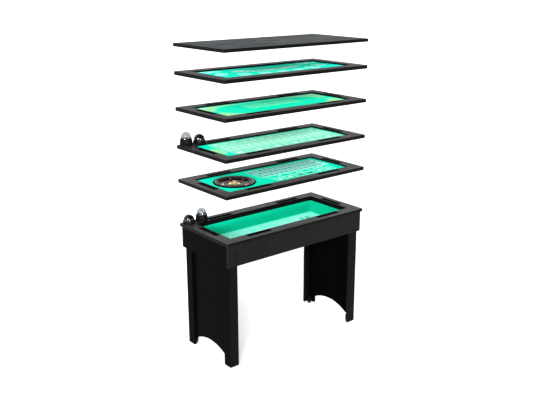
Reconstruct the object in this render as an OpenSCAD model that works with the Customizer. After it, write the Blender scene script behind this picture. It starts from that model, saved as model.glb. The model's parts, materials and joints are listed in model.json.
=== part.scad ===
// Casino game table: a craps well on legs, four game tops that lift off, and a cover.
// Millimetres. +X runs along the table, +Y to its back, +Z up.
// The origin is on the floor under the middle of the table.
// The tops are drawn lifted clear of each other, in the order they stack.

/* [Table] */
// Length of the rim and of every top
table_l = 1220; // [1180:10:1400]
// Width of the rim and of every top
table_w = 560; // [540:10:700]
// Height of the rim's upper face above the floor
table_h = 910; // [760:10:1000]
// Width of the boards round the well and round each felt
rail_w = 80; // [79:1:95]
// Thickness of the rim
rim_t = 22; // [20:1:28]
// How far the rim stands out past the apron
rim_overhang = 10; // [4:1:14]
// Height of the apron boards
apron_h = 150; // [145:1:180]
// Thickness of the apron and leg boards
board_t = 16; // [14:1:18]
// Thickness of the well's walls and floor, the end panels and the felt panels
panel_t = 12; // [9:1:12]

/* [Well] */
// Depth from the rim's upper face to the felt floor
well_depth = 125; // [115:1:128]
// Bare board between the rim's upper face and the top of the wall felt
felt_drop = 36; // [30:1:50]
// Thickness of every felt
felt_t = 1.5; // [1:0.5:2]

/* [Legs] */
// Width of each leg board
leg_w = 70; // [66:1:80]
// Gap between the leg boards and the floor
leg_gap = 10; // [8:1:14]
// Height of the arch at its ends
arch_end = 60; // [58:1:80]
// Height of the arch in the middle
arch_top = 115; // [100:1:140]
// Length of a levelling foot's stud above its pad
stud_l = 38; // [30:1:42]

/* [Chip troughs] */
// Length of a chip trough
trough_l = 200; // [120:5:200]
// Width of a chip trough
trough_w = 40; // [36:1:42]
// Depth of a chip trough
trough_d = 13; // [8:1:14]
// Distance from the board's outer edge to the trough
trough_edge = 36; // [32:1:37]
// Distance of the long sides' troughs from the middle of the table
trough_x = 310; // [220:5:310]

/* [Tops] */
// Thickness of a game top
top_t = 25; // [25:1:30]
// Thickness of the cover
cover_t = 22; // [16:1:25]
// Height of the roulette top above the rim
lift_roulette = 290; // [200:10:300]
// Height of the sic bo top above the roulette top
lift_sicbo = 210; // [120:10:300]
// Height of the poker top above the sic bo top
lift_poker = 230; // [150:10:300]
// Height of the blackjack top above the poker top
lift_blackjack = 210; // [50:10:300]
// Height of the cover above the blackjack top
lift_cover = 158; // [50:2:300]

/* [Roulette wheel] */
// Distance of the wheel from the middle of the table
wheel_x = 342; // [330:1:360]
// Radius of the bowl's flange
wheel_r = 145; // [142:1:148]

/* [Dice poppers] */
// Radius of a popper's foot
popper_r = 44; // [43:0.5:45]
// Distance between the two poppers of a pair
popper_pitch = 105; // [96:1:105]
// Edge of a die
die_s = 16; // [12:1:16]
// How far a dome presses down
press = 3; // [2:0.5:3]

/* [Hidden] */
$fn = 96;

black = [0.07, 0.07, 0.075];
dark_grey = [0.16, 0.16, 0.17];
felt_green = [0.10, 0.72, 0.52];
wall_green = [0.04, 0.55, 0.40];
raw_board = [0.62, 0.50, 0.36];
raw_pine = [0.80, 0.68, 0.48];
brass = [0.80, 0.62, 0.25];
steel = [0.60, 0.61, 0.63];
clear = [0.90, 0.93, 0.95, 0.35];
smoked = [0.08, 0.08, 0.09, 0.85];
bone = [0.95, 0.94, 0.90];

e = 1; // how far a cutting shape runs past the face that it cuts

// Plan sizes, as half lengths from the middle of the table
half_l = table_l / 2;
half_w = table_w / 2;
open_x = half_l - rail_w;
open_y = half_w - rail_w;
apron_x = half_l - rim_overhang;
apron_y = half_w - rim_overhang;
leg_x = apron_x - board_t;
leg_y = apron_y - board_t;
inner_x = leg_x - board_t;
inner_y = leg_y - board_t;
wall_set_back = 3; // the felted walls stand this far back under the rim
felt_x = open_x + wall_set_back + felt_t;
felt_y = open_y + wall_set_back + felt_t;
wall_x = felt_x + panel_t;
wall_y = felt_y + panel_t;

// Heights
rim_z = table_h - rim_t;
apron_z = rim_z - apron_h;
well_z = table_h - well_depth;
floor_z = well_z - felt_t - panel_t;
wall_z = floor_z + panel_t;
strip = 16; // pine strips are this square
leg_top = rim_z - 2; // the legs stop this little below the rim
roulette_z = table_h + lift_roulette;
sicbo_z = roulette_z + top_t + lift_sicbo;
poker_z = sicbo_z + top_t + lift_poker;
blackjack_z = poker_z + top_t + lift_blackjack;
cover_z = blackjack_z + top_t + lift_cover;

// Felt panels sit in a rebate cut in the underside of each frame
rebate = 10;
panel_gap = 0.3;

// Blocks in the corners behind the aprons, and at the feet of the legs
block_l = 36;
block_w = 20;
block_h = 125;
block_x0 = inner_x - panel_t - block_l;
block_y0 = inner_y - block_w;
block_z0 = apron_z + 7;
foot_block_l = 30;
foot_block_w = 30;
foot_block_h = 46;
foot_block_x0 = inner_x - foot_block_l;
foot_block_y0 = inner_y - foot_block_w;
foot_block_z0 = leg_gap + 2;
foot_x = inner_x - foot_block_l / 2;
foot_y = inner_y - foot_block_w / 2;
pad_r = 15;
stud_r = 4;
pad_h = 7;
stud_top = pad_h + stud_l;
insert_r = 6;
insert_h = 16;

// Leg bolts: places on the corner block, and heights up the apron for the long and the short sides
bolt_x = block_x0 + 21;
bolt_y = block_y0 + block_w / 2;
bolt_z_long = [apron_z + 21, apron_z + 87];
bolt_z_short = [apron_z + 38, apron_z + 112];
bolt_r = 3;
bolt_hole_r = 3.3;
bolt_head_r = 7.5;
bolt_head_h = 3;
bolt_grip = 18; // length of bolt held in the corner block
hex_r = 2.6;
screw_r = 1.8;
screw_y = leg_y - leg_w + 24; // the end panel's screws stand this far in from the leg board's edge
screw_zs = [150, 320, 500, 680];
screw_bite = 10; // length of screw in the leg board

// Wheel. Its heights are measured from the felt
felt_top = panel_t + felt_t;
wheel_z = roulette_z + felt_top;
wheel_hole_r = wheel_r - 11; // the flange covers this hole's edge
cavity_r = wheel_r - 45; // the rotor turns in this
rotor_r = cavity_r - 2;
spindle_r = 4;
bush_r = 7;

// Poppers stand on the board's back left corner
popper_in = 46;
popper_x = half_l - popper_in;
popper_y = half_w - popper_in;
clear_lip_z = 48;
clear_dome_r = 35;
clear_top = 92;
smoked_lip_z = 22;
smoked_dome_r = 38;
smoked_top = 64;
lip_t = 3;
flange_t = 2;
flange_w = 2;
dome_t = 2;
disc_t = 1;
slack = 0.3; // play above and below the dome's flange
die_round = 0.72; // radius of the sphere that takes off a die's corners, as a share of its edge
pair_ring = 11; // two dice lie on a ring of this radius
trio_ring = 13; // and three on one of this radius

// ---- helpers ----

// A board lying flat, centred on the table
module slab(x, y, z, h) {
    translate([-x, -y, z]) cube([2 * x, 2 * y, h]);
}

// Places its child, drawn for the back right corner, at the corner with the signs sx, sy
module at_corner(sx, sy) {
    mirror([sx < 0 ? 1 : 0, 0, 0]) mirror([0, sy < 0 ? 1 : 0, 0]) children();
}

module at_each_corner() {
    for (sx = [-1, 1], sy = [-1, 1]) at_corner(sx, sy) children();
}

// A half-round channel along X with its mouth at z = 0 and its outer edge at y = 0
module trough_cut() {
    r = (pow(trough_w / 2, 2) + pow(trough_d, 2)) / (2 * trough_d);
    translate([-trough_l / 2, -trough_w / 2, r - trough_d])
        rotate([0, 90, 0]) cylinder(r = r, h = trough_l);
}

// Two troughs along each long side and one across each end
module trough_cuts(z) {
    for (sy = [-1, 1], sx = [-1, 1])
        translate([sx * trough_x, sy * (half_w - trough_edge), z])
            mirror([0, sy < 0 ? 1 : 0, 0]) trough_cut();
    for (sx = [-1, 1])
        translate([sx * (half_l - trough_edge), 0, z]) rotate([0, 0, -90 * sx]) trough_cut();
}

// A one-piece routed frame with a rebate underneath for its felt panel
module game_frame(z, troughs) {
    color(black) difference() {
        slab(half_l, half_w, z, top_t);
        slab(open_x, open_y, z - e, top_t + 2 * e);
        slab(open_x + rebate, open_y + rebate, z - e, panel_t + e);
        if (troughs) trough_cuts(z + top_t);
    }
}

module game_panel(z) {
    color(raw_board) slab(open_x + rebate - panel_gap, open_y + rebate - panel_gap, z, panel_t);
}

module game_felt(z) {
    color(felt_green) slab(open_x, open_y, z + panel_t, felt_t);
}

// Bolt holes for the corner at +X +Y, through everything behind the apron
module long_bolt_holes(r) {
    for (z = bolt_z_long) translate([bolt_x, apron_y + e, z])
        rotate([90, 0, 0]) cylinder(r = r, h = apron_y - block_y0 + 2 * e);
}

module short_bolt_holes(r) {
    for (z = bolt_z_short) translate([apron_x + e, bolt_y, z])
        rotate([0, -90, 0]) cylinder(r = r, h = apron_x - block_x0 + 2 * e);
}

// Low-headed bolt along +Z: its head stands on z = 0 and its tip is at -length
module bolt(length) {
    difference() {
        union() {
            cylinder(r1 = bolt_head_r, r2 = bolt_head_r - 1.2, h = bolt_head_h);
            translate([0, 0, -length]) cylinder(r = bolt_r, h = length + e);
        }
        translate([0, 0, 1]) cylinder(r = hex_r, h = bolt_head_h, $fn = 6);
    }
}

// ---- base ----

module rim() {
    color(black) difference() {
        slab(half_l, half_w, rim_z, rim_t);
        slab(open_x, open_y, rim_z - e, rim_t + 2 * e);
        trough_cuts(table_h);
    }
}

module apron_long(sy) {
    color(black) difference() {
        mirror([0, sy < 0 ? 1 : 0, 0])
            translate([-apron_x, leg_y, apron_z]) cube([2 * apron_x, board_t, apron_h]);
        for (sx = [-1, 1]) at_corner(sx, sy) long_bolt_holes(bolt_hole_r);
    }
}

module apron_short(sx) {
    color(black) difference() {
        mirror([sx < 0 ? 1 : 0, 0, 0])
            translate([leg_x, -leg_y, apron_z]) cube([board_t, 2 * leg_y, apron_h]);
        for (sy = [-1, 1]) at_corner(sx, sy) short_bolt_holes(bolt_hole_r);
    }
}

module well_wall_long(sy) {
    color(black) mirror([0, sy < 0 ? 1 : 0, 0])
        translate([-wall_x, felt_y, wall_z]) cube([2 * wall_x, panel_t, rim_z - wall_z]);
}

module well_wall_short(sx) {
    color(black) mirror([sx < 0 ? 1 : 0, 0, 0])
        translate([felt_x, -felt_y, wall_z]) cube([panel_t, 2 * felt_y, rim_z - wall_z]);
}

module well_floor() {
    color(raw_board) slab(wall_x, wall_y, floor_z, panel_t);
}

module floor_felt() {
    color(felt_green) slab(felt_x, felt_y, wall_z, felt_t);
}

module wall_felt() {
    color(wall_green) difference() {
        slab(felt_x, felt_y, well_z, well_depth - felt_drop);
        slab(felt_x - felt_t, felt_y - felt_t, well_z - e, well_depth);
    }
}

// Pine strips: cleats in the angle between apron and rim, and bearers under the well's floor
module pine_strips() {
    long_l = 2 * (leg_x - leg_w - 4);
    short_l = 2 * (leg_y - leg_w - 4);
    color(raw_pine) {
        for (s = [-1, 1]) {
            mirror([0, s < 0 ? 1 : 0, 0])
                translate([-long_l / 2, leg_y - strip, rim_z - strip]) cube([long_l, strip, strip]);
            mirror([s < 0 ? 1 : 0, 0, 0])
                translate([leg_x - strip, -short_l / 2, rim_z - strip]) cube([strip, short_l, strip]);
        }
        for (x = [-0.7, 0, 0.7] * wall_x)
            translate([x - strip / 2, -leg_y, floor_z - strip]) cube([strip, 2 * leg_y, strip]);
    }
}

module corner_blocks() {
    color(raw_pine) at_each_corner() difference() {
        translate([block_x0, block_y0, block_z0])
            cube([block_l, block_w, block_h]);
        long_bolt_holes(bolt_r);
        short_bolt_holes(bolt_r);
    }
}

// ---- legs ----

// One board of a leg, mitred down its outer corner, drawn for the back right corner
module leg_face() {
    translate([0, 0, leg_gap]) linear_extrude(leg_top - leg_gap)
        polygon([[leg_x, leg_y], [leg_x - leg_w, leg_y], [leg_x - leg_w, inner_y], [inner_x, inner_y]]);
}

module leg_side() {
    translate([0, 0, leg_gap]) linear_extrude(leg_top - leg_gap)
        polygon([[leg_x, leg_y], [inner_x, inner_y], [inner_x, leg_y - leg_w], [leg_x, leg_y - leg_w]]);
}

module leg_face_board(sx, sy) {
    color(black) at_corner(sx, sy) difference() {
        leg_face();
        long_bolt_holes(bolt_hole_r);
    }
}

module leg_side_board(sx, sy) {
    color(black) at_corner(sx, sy) difference() {
        leg_side();
        short_bolt_holes(bolt_hole_r);
        panel_screw_holes();
    }
}

// Screw holes through the end panel into the side board
module panel_screw_holes() {
    for (z = screw_zs) translate([inner_x - panel_t - e, screw_y, z])
        rotate([0, 90, 0]) cylinder(r = screw_r, h = panel_t + screw_bite + e);
}

module end_panel(sx) {
    half_span = leg_y - leg_w;
    rise = arch_top - arch_end;
    arch_r = (pow(half_span, 2) + pow(rise, 2)) / (2 * rise);
    color(black) mirror([sx < 0 ? 1 : 0, 0, 0]) difference() {
        translate([inner_x - panel_t, -inner_y, arch_end]) cube([panel_t, 2 * inner_y, leg_top - arch_end]);
        translate([inner_x - panel_t - e, 0, arch_top - arch_r])
            rotate([0, 90, 0]) cylinder(r = arch_r, h = panel_t + 2 * e);
        for (sy = [-1, 1]) mirror([0, sy < 0 ? 1 : 0, 0]) {
            short_bolt_holes(bolt_hole_r);
            panel_screw_holes();
        }
    }
}

module leg_bolts() {
    long_l = apron_y - inner_y + bolt_grip;
    short_l = apron_x - inner_x + panel_t + bolt_grip;
    color(dark_grey) at_each_corner() {
        for (z = bolt_z_long) translate([bolt_x, apron_y, z]) rotate([-90, 0, 0]) bolt(long_l);
        for (z = bolt_z_short) translate([apron_x, bolt_y, z]) rotate([0, 90, 0]) bolt(short_l);
    }
}

module panel_screws() {
    head_r = 4;
    head_h = 2.4;
    color(steel) at_each_corner() for (z = screw_zs)
        translate([inner_x - panel_t, screw_y, z]) rotate([0, 90, 0]) {
            translate([0, 0, -head_h]) cylinder(r1 = head_r - 1, r2 = head_r, h = head_h);
            cylinder(r = screw_r, h = panel_t + screw_bite);
        }
}

module foot_blocks() {
    color(raw_pine) at_each_corner() difference() {
        translate([foot_block_x0, foot_block_y0, foot_block_z0])
            cube([foot_block_l, foot_block_w, foot_block_h]);
        translate([foot_x, foot_y, foot_block_z0 - e]) cylinder(r = insert_r, h = insert_h + e);
        translate([foot_x, foot_y, foot_block_z0]) cylinder(r = stud_r + 1, h = stud_top + 2 - foot_block_z0);
    }
}

// Threaded inserts pressed up into the foot blocks; the studs turn in them
module foot_inserts() {
    color(brass) at_each_corner() translate([foot_x, foot_y, foot_block_z0]) difference() {
        union() {
            cylinder(r = insert_r, h = insert_h);
            translate([0, 0, -1.2]) cylinder(r = 10, h = 1.2);
        }
        translate([0, 0, -2]) cylinder(r = stud_r + 0.1, h = insert_h + 4);
    }
}

// Levelling foot, drawn for the back right corner
module foot() {
    translate([foot_x, foot_y, 0]) {
        cylinder(r = pad_r, h = pad_h - 3);
        translate([0, 0, pad_h - 3]) cylinder(r1 = pad_r, r2 = 7, h = 3);
        cylinder(r = stud_r, h = stud_top);
    }
}

module levelling_foot(sx, sy) {
    color(dark_grey) at_corner(sx, sy) foot();
}

// ---- roulette top ----

module roulette_panel() {
    difference() {
        game_panel(roulette_z);
        translate([-wheel_x, 0, roulette_z - e]) cylinder(r = wheel_hole_r, h = panel_t + 2 * e);
    }
}

module roulette_felt() {
    difference() {
        game_felt(roulette_z);
        translate([-wheel_x, 0, roulette_z]) cylinder(r = wheel_hole_r, h = top_t);
    }
}

module at_wheel() {
    translate([-wheel_x, 0, wheel_z]) children();
}

// Bowl: flange on the felt, ball track sloping in, well for the rotor, boss for the spindle
module wheel_bowl() {
    color(black) at_wheel() rotate_extrude() polygon([
        [wheel_r, 0], [wheel_r, 5], [wheel_r - 4, 8.5], [wheel_r - 10, 9], [wheel_r - 16, 5],
        [cavity_r + 2, -12], [cavity_r, -15], [cavity_r, -31], [9, -31], [9, -27.8],
        [spindle_r, -27.8], [spindle_r, -34], [cavity_r + 4, -34],
        [wheel_hole_r - 2, -6], [wheel_hole_r - 2, 0]
    ]);
}

module wheel_spindle() {
    color(steel) at_wheel() translate([0, 0, -34]) cylinder(r = spindle_r, h = 28);
}

module wheel_bush() {
    color(brass) at_wheel() translate([0, 0, -27.5]) difference() {
        cylinder(r = bush_r, h = 19.5);
        translate([0, 0, -e]) cylinder(r = spindle_r + 0.05, h = 19.5 + 2 * e);
    }
}

// Rotor: hub, cone, pocket ring and outer lip
module wheel_rotor() {
    color([0.25, 0.10, 0.05]) at_wheel() rotate_extrude() polygon([
        [bush_r, -26], [rotor_r, -26], [rotor_r, -13], [rotor_r - 4, -12], [rotor_r - 5, -18],
        [rotor_r - 26, -18], [rotor_r - 28, -12], [20, -5], [17, -4], [bush_r, -4]
    ]);
}

// Turret: turned finial with four arms
module wheel_turret() {
    color(brass) at_wheel() {
        rotate_extrude() polygon([
            [0, -4], [15, -4], [14, -2.5], [8, -1], [5, 1], [5, 3], [8, 4.5], [8, 6], [4, 7], [3, 8],
            [4.5, 9], [3.5, 10.4], [0, 10.4]
        ]);
        for (a = [0 : 90 : 270]) rotate([0, 0, a]) translate([6, 0, 5]) rotate([0, 90, 0]) {
            cylinder(r = 1.4, h = 13);
            translate([0, 0, 14]) sphere(r = 2.6);
        }
    }
}

module cover_board() {
    color(black) slab(half_l, half_w, cover_z, cover_t);
}

// ---- dice poppers ----
// Each popper is a hollow base, a sprung disc that carries the dice, and a dome held
// under the base's lip. Pressing the dome snaps the disc and throws the dice.

function flange_z(lip_z) = lip_z - lip_t - slack - flange_t;
function disc_top(lip_z) = flange_z(lip_z) - press - slack;

// Base: lip_z is its height, dome_r the radius of the dome that comes through its lip
module popper_base(lip_z, dome_r) {
    bore = dome_r + flange_w + 0.6;
    ledge_z = disc_top(lip_z) - disc_t;
    color(black) rotate_extrude() polygon([
        [0, 0], [popper_r, 0], [popper_r, 6], [popper_r - 1, 10],
        [dome_r + 4, lip_z - 2], [dome_r + 3, lip_z], [dome_r + 0.5, lip_z],
        [dome_r + 0.5, lip_z - lip_t], [bore, lip_z - lip_t], [bore, ledge_z],
        [bore - 5, ledge_z], [bore - 5, 4], [0, 4]
    ]);
}

module popper_disc(lip_z, dome_r) {
    disc_r = dome_r + flange_w + 0.3;
    color(steel) translate([0, 0, disc_top(lip_z) - disc_t]) cylinder(r = disc_r, h = disc_t);
}

module popper_dome(lip_z, dome_r, top_z) {
    centre_z = top_z - dome_r;
    z0 = flange_z(lip_z);
    difference() {
        union() {
            translate([0, 0, z0]) cylinder(r = dome_r + flange_w, h = flange_t);
            translate([0, 0, z0]) cylinder(r = dome_r, h = centre_z - z0);
            translate([0, 0, centre_z]) sphere(r = dome_r);
        }
        translate([0, 0, z0 - 2 * dome_r]) cylinder(r = 2 * dome_r, h = 2 * dome_r);
        translate([0, 0, z0 - e]) cylinder(r = dome_r - dome_t, h = centre_z - z0 + e);
        translate([0, 0, centre_z]) sphere(r = dome_r - dome_t);
    }
}

// A die with its corners turned off, standing on z = 0
module die() {
    color(bone) translate([0, 0, die_s / 2]) intersection() {
        cube(die_s, center = true);
        sphere(r = die_s * die_round);
    }
}

// Dice spread round the middle of a popper's disc
module dice_on(lip_z, count) {
    ring_r = count > 2 ? trio_ring : pair_ring;
    for (i = [0 : count - 1]) rotate([0, 0, 360 * i / count + 90])
        translate([ring_r, 0, disc_top(lip_z)]) rotate([0, 0, 12 - 360 * i / count - 14 * i]) die();
}

// Stands a popper on a board whose upper face is at z; n is 0 at the corner, 1 along the back
module stand(n, z) {
    translate([n * popper_pitch - popper_x, popper_y, z]) children();
}

module rim_popper_bases() {
    stand(0, table_h) popper_base(smoked_lip_z, smoked_dome_r);
    stand(1, table_h) popper_base(clear_lip_z, clear_dome_r);
}

module rim_popper_discs() {
    stand(0, table_h) popper_disc(smoked_lip_z, smoked_dome_r);
    stand(1, table_h) popper_disc(clear_lip_z, clear_dome_r);
}

module rim_popper_dice() {
    stand(0, table_h) dice_on(smoked_lip_z, 2);
    stand(1, table_h) dice_on(clear_lip_z, 2);
}

module sicbo_popper_bases() {
    stand(0, sicbo_z + top_t) popper_base(clear_lip_z, clear_dome_r);
    stand(1, sicbo_z + top_t) popper_base(smoked_lip_z, smoked_dome_r);
}

module sicbo_popper_discs() {
    stand(0, sicbo_z + top_t) popper_disc(clear_lip_z, clear_dome_r);
    stand(1, sicbo_z + top_t) popper_disc(smoked_lip_z, smoked_dome_r);
}

module sicbo_popper_dice() {
    stand(0, sicbo_z + top_t) dice_on(clear_lip_z, 3);
    stand(1, sicbo_z + top_t) dice_on(smoked_lip_z, 3);
}

module clear_dome(n, z) {
    color(clear) stand(n, z) popper_dome(clear_lip_z, clear_dome_r, clear_top);
}

module smoked_dome(n, z) {
    color(smoked) stand(n, z) popper_dome(smoked_lip_z, smoked_dome_r, smoked_top);
}

// ---- one line per sub-part ----

rim();
apron_long(-1);  // apron_front
apron_long(1);  // apron_back
apron_short(-1);  // apron_left
apron_short(1);  // apron_right
well_wall_long(-1);  // well_wall_front
well_wall_long(1);  // well_wall_back
well_wall_short(-1);  // well_wall_left
well_wall_short(1);  // well_wall_right
well_floor();
wall_felt();
floor_felt();
pine_strips();
corner_blocks();
foot_blocks();
foot_inserts();
leg_face_board(-1, -1);  // leg_front_left_face
leg_side_board(-1, -1);  // leg_front_left_side
leg_face_board(1, -1);  // leg_front_right_face
leg_side_board(1, -1);  // leg_front_right_side
leg_face_board(-1, 1);  // leg_back_left_face
leg_side_board(-1, 1);  // leg_back_left_side
leg_face_board(1, 1);  // leg_back_right_face
leg_side_board(1, 1);  // leg_back_right_side
end_panel(-1);  // end_panel_left
end_panel(1);  // end_panel_right
leg_bolts();
panel_screws();
levelling_foot(-1, -1);  // foot_front_left
levelling_foot(1, -1);  // foot_front_right
levelling_foot(-1, 1);  // foot_back_left
levelling_foot(1, 1);  // foot_back_right
game_frame(roulette_z, true);  // roulette_frame
roulette_panel();
roulette_felt();
wheel_bowl();
wheel_spindle();
wheel_bush();
wheel_rotor();
wheel_turret();
game_frame(sicbo_z, true);  // sicbo_frame
game_panel(sicbo_z);  // sicbo_panel
game_felt(sicbo_z);  // sicbo_felt
game_frame(poker_z, true);  // poker_frame
game_panel(poker_z);  // poker_panel
game_felt(poker_z);  // poker_felt
game_frame(blackjack_z, false);  // blackjack_frame
game_panel(blackjack_z);  // blackjack_panel
game_felt(blackjack_z);  // blackjack_felt
cover_board();
rim_popper_bases();
rim_popper_discs();
rim_popper_dice();
smoked_dome(0, table_h);  // rim_smoked_dome
clear_dome(1, table_h);  // rim_clear_dome
sicbo_popper_bases();
sicbo_popper_discs();
sicbo_popper_dice();
clear_dome(0, sicbo_z + top_t);  // sicbo_clear_dome
smoked_dome(1, sicbo_z + top_t);  // sicbo_smoked_dome
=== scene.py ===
"""Casino game table with lift-off tops: the visual model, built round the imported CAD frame.

The frame's own axes are +X along the table, +Y to its back and +Z up. Boxes of nodes, places and
the sizes of noise are in metres. Profiles, outlines and felt prints are in millimetres.
"""
import json
import math

import bmesh
import bpy
from mathutils import Matrix, Vector, noise


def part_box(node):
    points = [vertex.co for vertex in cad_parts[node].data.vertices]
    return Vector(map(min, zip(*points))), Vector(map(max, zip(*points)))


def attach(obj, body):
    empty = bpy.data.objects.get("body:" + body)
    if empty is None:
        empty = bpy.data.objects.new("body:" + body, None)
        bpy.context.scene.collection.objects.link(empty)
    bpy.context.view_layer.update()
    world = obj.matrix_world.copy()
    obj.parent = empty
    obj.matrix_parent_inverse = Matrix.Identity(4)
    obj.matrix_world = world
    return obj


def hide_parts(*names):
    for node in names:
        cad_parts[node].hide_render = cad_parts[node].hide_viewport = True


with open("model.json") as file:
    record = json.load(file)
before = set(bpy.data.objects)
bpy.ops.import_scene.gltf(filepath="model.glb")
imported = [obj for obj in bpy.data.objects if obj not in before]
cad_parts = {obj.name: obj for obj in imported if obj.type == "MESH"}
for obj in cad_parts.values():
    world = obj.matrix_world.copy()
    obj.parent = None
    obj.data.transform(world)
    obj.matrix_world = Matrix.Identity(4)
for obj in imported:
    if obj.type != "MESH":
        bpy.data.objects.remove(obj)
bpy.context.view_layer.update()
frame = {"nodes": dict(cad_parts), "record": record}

MM = 0.001
NODES = frame["nodes"]
RECORD = frame["record"]
BODY_OF = {node: body for body, nodes in RECORD["behaviour"]["bodies"].items() for node in nodes}
TOPS = ["roulette", "sicbo", "poker", "blackjack"]


# ---- materials ----

class Look:
    """A material in the making: its nodes take plain values or each other's outputs."""

    def __init__(self, name, color, roughness=0.5, gloss=0.5, **shader):
        self.material = bpy.data.materials.new(name)
        self.material.use_nodes = True
        tree = self.material.node_tree
        self.nodes, self.links = tree.nodes, tree.links
        self.shader = self.nodes["Principled BSDF"]
        self.done(Base_Color=color, Roughness=roughness, Specular_IOR_Level=gloss, **shader)

    def feed(self, node, inputs):
        for key, value in inputs.items():
            socket = node.inputs[key]
            if isinstance(value, bpy.types.NodeSocket):
                self.links.new(value, socket)
            elif isinstance(value, tuple) and socket.type == "RGBA":
                socket.default_value = (*value, 1)
            else:
                socket.default_value = value

    def add(self, kind, inputs, **settings):
        node = self.nodes.new(kind)
        for key, value in settings.items():
            setattr(node, key, value)
        self.feed(node, inputs)
        return node

    def noise(self, size, detail=3.0, roughness=0.55, stretch=(1, 1, 1)):
        """Noise from 0 to 1 with features about size metres across, longer along stretch."""
        place = self.add("ShaderNodeTexCoord", {}).outputs["Object"]
        scale = tuple(1 / (size * s) for s in stretch)
        mapped = self.add("ShaderNodeMapping", {"Vector": place, "Scale": scale}).outputs["Vector"]
        inputs = {"Vector": mapped, "Scale": 1.0, "Detail": detail, "Roughness": roughness}
        return self.add("ShaderNodeTexNoise", inputs).outputs["Fac"]

    def remap(self, value, low, high, to_low=0.0, to_high=1.0):
        inputs = {"Value": value, "From Min": low, "From Max": high, "To Min": to_low, "To Max": to_high}
        return self.add("ShaderNodeMapRange", inputs).outputs["Result"]

    def mix(self, share, a, b):
        return self.add("ShaderNodeMix", {0: share, 6: a, 7: b}, data_type="RGBA").outputs[2]

    def bump(self, height, depth, under=None):
        inputs = {"Height": height, "Distance": depth, "Strength": 1.0}
        if under is not None:
            inputs["Normal"] = under
        return self.add("ShaderNodeBump", inputs).outputs["Normal"]

    def done(self, **inputs):
        self.feed(self.shader, {key.replace("_", " "): value for key, value in inputs.items()})
        return self.material


def along(axis, long):
    """Stretch factors for grain that runs along an axis, 0, 1 or 2."""
    return tuple(long if i == axis else 1 for i in range(3))


def grey(value):
    return (value, value, value)


def toned(color, factor, plus=0.0):
    return tuple(min(1.0, c * factor + plus) for c in color)


def laminate(name, axis, gloss, tone, worn):
    """Black melamine board with embossed grain along an axis. worn lightens it in patches. tone is the
    board's black, set lighter or darker per board as painted light and shade.
    """
    look = Look(name, tone, gloss=gloss)
    grain = look.noise(0.010, 5.0, 0.65, along(axis, 14))
    pores = look.noise(0.0011, 2.0, stretch=along(axis, 22))
    smears = look.noise(0.16, 4.0)
    color = look.mix(look.remap(grain, 0.35, 0.7), toned(tone, 0.7), toned(tone, 1.3))
    if worn:
        rubs = look.remap(look.noise(0.012, 6.0, 0.7), 0.54, 0.68, 0.0, worn)
        color = look.mix(rubs, color, toned(tone, 1, 0.010))
    rough = look.remap(smears, 0.3, 0.7, 0.28, 0.40)
    normal = look.bump(look.remap(pores, 0.5, 0.75), 0.00005)
    normal = look.bump(grain, 0.00006, normal)
    return look.done(Base_Color=color, Roughness=rough, Normal=normal)


def painted():
    """Flat black paint on the routed board inside a chip trough."""
    look = Look("black_paint", grey(0.0015), 0.6, 0.02)
    clouds = look.remap(look.noise(0.03), 0.35, 0.7)
    color = look.mix(clouds, (0.0010, 0.0010, 0.0011), (0.0026, 0.0025, 0.0024))
    return look.done(Base_Color=color, Normal=look.bump(look.noise(0.0007), 0.00006))


def fibreboard():
    """Bare brown fibreboard, as on the undersides."""
    look = Look("bare_fibreboard", (0.4, 0.28, 0.16), 0.85)
    clouds = look.remap(look.noise(0.05, 5.0), 0.3, 0.7)
    flecks = look.noise(0.0016, 3.0, 0.7, (1, 1, 3))
    base = look.mix(clouds, (0.30, 0.19, 0.10), (0.42, 0.29, 0.17))
    color = look.mix(look.remap(flecks, 0.45, 0.75), base, (0.16, 0.09, 0.05))
    return look.done(Base_Color=color, Normal=look.bump(flecks, 0.0002))


def pine(axis):
    look = Look("bare_pine", (0.6, 0.45, 0.27), 0.7)
    rings = look.noise(0.006, 2.0, 0.4, along(axis, 30))
    fine = look.noise(0.0009, 2.0, stretch=along(axis, 40))
    base = look.mix(look.remap(rings, 0.35, 0.65), (0.70, 0.53, 0.32), (0.50, 0.32, 0.15))
    color = look.mix(look.remap(fine, 0.4, 0.8, 0.0, 0.5), base, (0.40, 0.25, 0.12))
    return look.done(Base_Color=color, Normal=look.bump(fine, 0.0001))


def felt(name, color, printed=None):
    """Needled felt: short crossing fibres and a soft sheen. printed is the colour of an ink on it."""
    look = Look(name, color, 0.95, 0.05, Sheen_Weight=0.12, Sheen_Roughness=0.5, Sheen_Tint=color)
    fibres = look.noise(0.0009, 3.0, 0.7, (4, 1, 1))
    crossed = look.noise(0.0009, 3.0, 0.7, (1, 4, 1))
    dark, light = toned(color, 0.86), toned(color, 1.08)
    shade = look.mix(look.remap(look.noise(0.07, 4.0), 0.3, 0.7, 0.25, 0.75), dark, light)
    shade = look.mix(look.remap(fibres, 0.35, 0.65, 0.0, 0.35), shade, light)
    shade = look.mix(look.remap(crossed, 0.35, 0.65, 0.0, 0.35), shade, dark)
    if printed:
        cover = look.remap(look.noise(0.0012, 3.0, 0.7), 0.28, 0.5, 0.6, 0.97)
        shade = look.mix(cover, shade, printed)
    normal = look.bump(crossed, 0.00025, look.bump(fibres, 0.00025))
    return look.done(Base_Color=shade, Normal=normal)


def plastic(name, color, roughness, grain=0.0, gloss=0.5):
    """Moulded plastic with faint flow marks, and a fine grain if asked for."""
    look = Look(name, color, roughness, gloss)
    flow = look.noise(0.03, stretch=(1, 1, 2))
    marks = look.noise(0.0006, 2.0)
    tone = look.mix(look.remap(flow, 0.3, 0.7), color, toned(color, 1.25, 0.002))
    rough = look.remap(flow, 0.3, 0.7, roughness * 0.8, min(1.0, roughness * 1.25))
    return look.done(Base_Color=tone, Roughness=rough, Normal=look.bump(marks, grain + 0.000005))


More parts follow.
